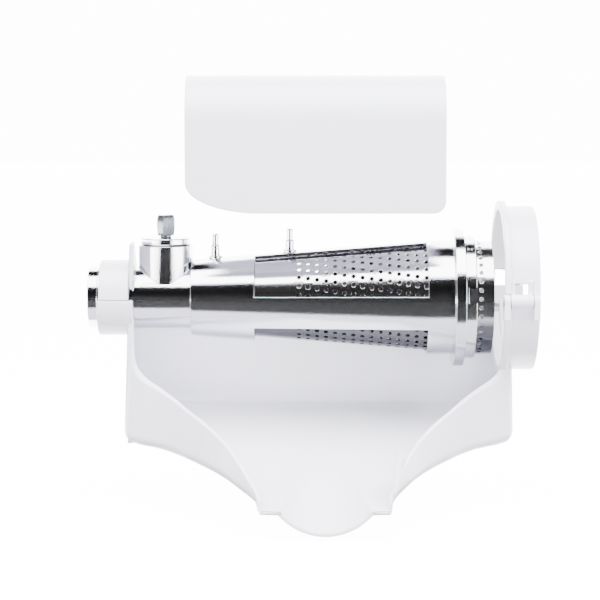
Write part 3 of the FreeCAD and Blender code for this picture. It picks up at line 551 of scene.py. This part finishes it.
def drawn(marks, lift):
    """A solid drawn as a closed outline and then extruded; smooth marks have True as their last item."""
    bpy.ops.curve.primitive_bezier_curve_add(location=(0, 0, 0))
    made = bpy.context.object
    made.data.dimensions = "3D"
    made.data.resolution_u = 8
    line = made.data.splines[0]
    line.bezier_points.add(len(marks) - 2)
    for point, (place, smooth) in zip(line.bezier_points, marks):
        point.co = Vector(place) * mm
        point.handle_left_type = "AUTO" if smooth else "VECTOR"
        point.handle_right_type = "AUTO" if smooth else "VECTOR"
    line.use_cyclic_u = True
    only(made)
    bpy.ops.object.convert(target="MESH")
    made = bpy.context.object
    bpy.ops.object.mode_set(mode="EDIT")
    bpy.ops.mesh.select_all(action="SELECT")
    bpy.ops.mesh.remove_doubles(threshold=0.02 * mm)
    bpy.ops.mesh.dissolve_limited(angle_limit=math.radians(0.2))
    bpy.ops.mesh.select_all(action="SELECT")
    bpy.ops.mesh.edge_face_add()
    bpy.ops.mesh.extrude_region_move(TRANSFORM_OT_translate={"value": Vector(lift) * mm})
    bpy.ops.mesh.select_all(action="SELECT")
    bpy.ops.mesh.normals_make_consistent(inside=False)
    bpy.ops.object.mode_set(mode="OBJECT")
    return made


def tray_plan(inset, reach):
    """The tray's outline from above: straight sides, round corners, then ogee sides down to the spout."""
    side = tray_half - inset
    corner = 9.0 - inset
    turn = math.radians(62)
    lean_x = side - corner + corner * math.cos(turn)
    lean_y = -18.0 - corner * math.sin(turn)
    narrow = spout_half - inset
    run = lip_y - lean_y
    half = [(side, back_y - inset, False), (side, -18.0, True),
            (side - corner + corner * math.cos(turn / 2), -18.0 - corner * math.sin(turn / 2), True),
            (lean_x, lean_y, True)]
    for share_x, share_y in ((0.26, 0.118), (0.485, 0.293), (0.70, 0.506), (0.834, 0.693), (0.938, 0.86)):
        half.append((lean_x - (lean_x - narrow) * share_x, lean_y + run * share_y, True))
    half += [(narrow, lip_y, False), (narrow, lip_y - reach, False)]
    marks = []
    for sign, row in ((1, half), (-1, half[::-1])):
        for x, y, smooth in row:
            along = max(0.0, (y - lean_y) / run)
            marks.append(((tray_mid + sign * x + spout_shift * along ** 2, y, -170.0), smooth))
    if reach == 0:
        marks = [mark for k, mark in enumerate(marks) if k == 0 or mark[0] != marks[k - 1][0]]
    return drawn(marks, (0, 0, 290))


def rounded_foot(solid, width, steps):
    """Rounds the edges where the walls meet the sloping foot of a solid."""
    level = under if width > 8 else (lambda y: under(y) + skin / math.cos(math.radians(15)))
    pick(solid, lambda spots: all(abs(s.z - level(s.y)) < 0.1 for s in spots)
         and min(s.y for s in spots) > lip_y + 0.5)
    bpy.ops.mesh.bevel(offset=width * mm, segments=steps, affect="EDGES")
    bpy.ops.object.mode_set(mode="OBJECT")


rim_top = under(lip_y) + skin
rim_marks = [((20, -22.6, -38.0), True), ((20, -26.0, -47.0), True)]
for share_y, share_z in ((0.045, 0.20), (0.18, 0.33), (0.36, 0.45), (0.56, 0.58), (0.70, 0.68), (0.84, 0.80),
                         (0.967, 0.90)):
    rim_marks.append(((20, -26.0 - 95.0 * share_y, -37.0 + (rim_top + 37.0) * share_z), True))
side_marks = [((20, back_y, under(back_y)), False), ((20, back_y, 37.0), False), ((20, -20.5, 37.0), False),
              ((20, -20.5, -26.0), True), *rim_marks, ((20, lip_y + 1, rim_top), False),
              ((20, lip_y, rim_top), False), ((20, lip_y, under(lip_y)), False)]
side_marks = [((0, y, z), smooth) for (x, y, z), smooth in side_marks]
tray = combine(tray_plan(0.0, 0.0), drawn(side_marks, (310, 0, 0)), "INTERSECT")
rounded_foot(tray, 9.0, 6)
inside_back = back_y - skin
inside_foot = under(inside_back) + skin / math.cos(math.radians(15))
far_foot = inside_foot + (lip_y - 30 - inside_back) * floor_fall
hollow = combine(tray_plan(skin, 30.0),
                 drawn([((0, inside_back, inside_foot), False), ((0, lip_y - 30, far_foot), False),
                        ((0, lip_y - 30, 120), False), ((0, inside_back, 120), False)], (310, 0, 0)), "INTERSECT")
pick(hollow, lambda spots: all(abs(s.y - inside_back) < 0.1 and abs(s.z - inside_foot) < 0.1 for s in spots))
bpy.ops.mesh.bevel(offset=14 * mm, segments=10, affect="EDGES")
bpy.ops.object.mode_set(mode="OBJECT")
combine(tray, hollow)
trough_fall = 13.5 / 54.0
trough_way = Vector((0, -1, -(floor_fall + trough_fall))).normalized()
trough_head = Vector((tray_mid + spout_shift, lip_y + 64.0, 0))
trough_head.z = under(trough_head.y) + skin + 40.0 / -trough_way.y + trough_fall * 10
trough_end = trough_head + trough_way * 114.0
combine(tray, rod(trough_head, trough_end, 40, 128))
sag = combine(rod(trough_head, trough_end, 42.6, 128), rod(trough_head - trough_way, trough_end + trough_way, 40, 128))
combine(sag, drawn([((0, lip_y + 84, under(lip_y + 84) + skin), False), ((0, lip_y, rim_top), False),
                    ((0, lip_y, -170), False), ((0, lip_y + 84, -170), False)], (310, 0, 0)), "INTERSECT")
combine(tray, sag, "UNION")
modify(tray, "TRIANGULATE", ngon_method="BEAUTY")
bpy.ops.object.add(type="LATTICE", location=(0.1535, 0, -0.0675))
flare = bpy.context.object
flare.scale = (0.27, 0.30, 0.209)
flare.data.points_w = 4
for way in "uvw":
    setattr(flare.data, "interpolation_type_" + way, "KEY_LINEAR")
for point in flare.data.points:
    level = round((point.co.z + 0.5) * 3)
    share = (1.0, 1.0, 0.960, 0.960) if point.co.x < 0 else (0.98, 0.98, 0.949, 0.949)
    point.co_deform.x *= share[level]
modify(tray, "LATTICE", object=flare)
bpy.data.objects.remove(flare)
combine(tray, block((29.5, 30, 0), (320, 60, 130)))
combine(tray, block((160, -110, 3), (320, 60, 130)))
combine(tray, drawn([((0, back_y + 1, 0), False), ((0, 0, 38), False), ((0, back_y + 1, 38), False)], (310, 0, 0)))
combine(tray, rod((-5, 0, 0), (66, 0, 0), 21.0, 96))
combine(tray, rod((226, 0, 6.4), (300, 0, 6.4), 52.0, 160))
soften(tray, 0.9)
saddle = combine(rod((6.5, 0, 0), (30.0, 0, 0), 25, 96), block((0, -40, 0), (40, 40, 40)))
combine(saddle, rod((0, 0, 0), (40, 0, 0), 21.0, 96))
soften(saddle, 0.8)
lower_ring = rod((271.5, 0, 6.4), (294.3, 0, 6.4), 54.3, 160)
combine(lower_ring, rod((271.5, 0, 6.4), (275.8, 0, 6.4), 57.6, 160), "UNION")
combine(lower_ring, block((260, -70, 3), (300, 70, 80)))
for ear_x in (270.5, 289.6):
    ear = rod((ear_x, -56.5, 3), (ear_x + 4, -56.5, 3), 4.6, 40)
    combine(ear, block((ear_x, -61.1, -9), (ear_x + 4, -50.5, 3)), "UNION")
    combine(lower_ring, ear, "UNION")
combine(lower_ring, rod((226, 0, 6.4), (300, 0, 6.4), 52.0, 160))
combine(lower_ring, rod((262, -56.5, 3), (304, -56.5, 3), 2.0, 32))
combine(lower_ring, rod((274.5, -56.5, 3), (289.6, -56.5, 3), 4.9, 40))
soften(lower_ring, 0.7)
bpy.ops.object.select_all(action="DESELECT")
for part in (saddle, lower_ring, tray):
    part.select_set(True)
bpy.context.view_layer.objects.active = tray
bpy.ops.object.join()
dressed(tray, "tray_moulding", plastic, "drip_tray", "head")

# ---------------------------------------------------------------- collar clamp
# The loose upper half of the collar, a plain white half ring that closes over the rear barrel.
clamp = combine(rod((7.7, 0, 0), (27.2, 0, 0), 25, 96), block((0, -40, -40), (40, 40, 0.3)))
combine(clamp, rod((0, 0, 0), (40, 0, 0), 21.0, 96))
soften(clamp, 0.8)
dressed(clamp, "clamp_moulding", plastic, "collar_clamp", "clamp")

# ---------------------------------------------------------------- outlet strap
# The upper half of the outlet ring: a white moulded band with a raised bead, a window each side, and a
# knuckle at the front that turns on the hinge pin.
strap = lathe([(271.5, 58), (275.5, 58), (275.5, 54.3), (294.3, 54.3)])
only(strap)
bpy.ops.transform.translate(value=(0, 0, 6.4 * mm))
bpy.ops.object.transform_apply(location=True, rotation=True, scale=True)
combine(strap, block((260, -70, -70), (300, 70, 3.3)))
combine(strap, rod((262, -56.5, 3), (304, -56.5, 3), 4.9, 40))
for low_y in (-64.3, 29.3):
    combine(strap, block((274.8, low_y, -10), (289.3, low_y + 35, 14)))
knuckle = rod((274.8, -56.5, 3), (289.3, -56.5, 3), 4.6, 40)
for arm_x in (274.8, 286.3):
    combine(knuckle, block((arm_x, -54.8, 3), (arm_x + 3, -50.8, 16)), "UNION")
combine(strap, knuckle, "UNION")
combine(strap, rod((260, 0, 6.4), (300, 0, 6.4), 52.0, 160))
combine(strap, rod((262, -56.5, 3), (304, -56.5, 3), 2.05, 32))
soften(strap, 0.7)
dressed(strap, "strap_moulding", plastic, "outlet_strap", "strap")

# ---------------------------------------------------------------- thumb screw
# A dull steel screw with a thick flat paddle, forged a little wider at its middle and turned to fit the
# fingers.  It stands on a small collar and runs down through the cap to the plate.
blade = block((-4.75, -3.0, 41.4), (4.75, 3.0, 42.0))
pick(blade, lambda spots: all(s.z > 41.9 for s in spots), "FACE")
for rise, share_x, share_y in ((3.2, 1.10, 1.05), (4.6, 1.0, 1.02), (3.2, 0.95, 0.98), (2.0, 0.88, 0.9)):
    bpy.ops.mesh.extrude_region_move(TRANSFORM_OT_translate={"value": (0, 0, rise * mm)})
    bpy.ops.transform.resize(value=(share_x, share_y, 1))
bpy.ops.mesh.select_all(action="SELECT")
bpy.ops.transform.rotate(value=math.radians(-44), orient_axis="Z", center_override=(0, 0, 0))
bpy.ops.transform.translate(value=(50.9 * mm, 0, 0))
bpy.ops.object.mode_set(mode="OBJECT")
combine(blade, rod((50.9, 0, 40.0), (50.9, 0, 41.6), 3.7, 48), "UNION")
combine(blade, rod((50.9, 0, 19.0), (50.9, 0, 40.5), 3.0, 48), "UNION")
soften(blade, 0.35)
dressed(blade, "screw_paddle", screw_steel, "thumb_screw", "screw")
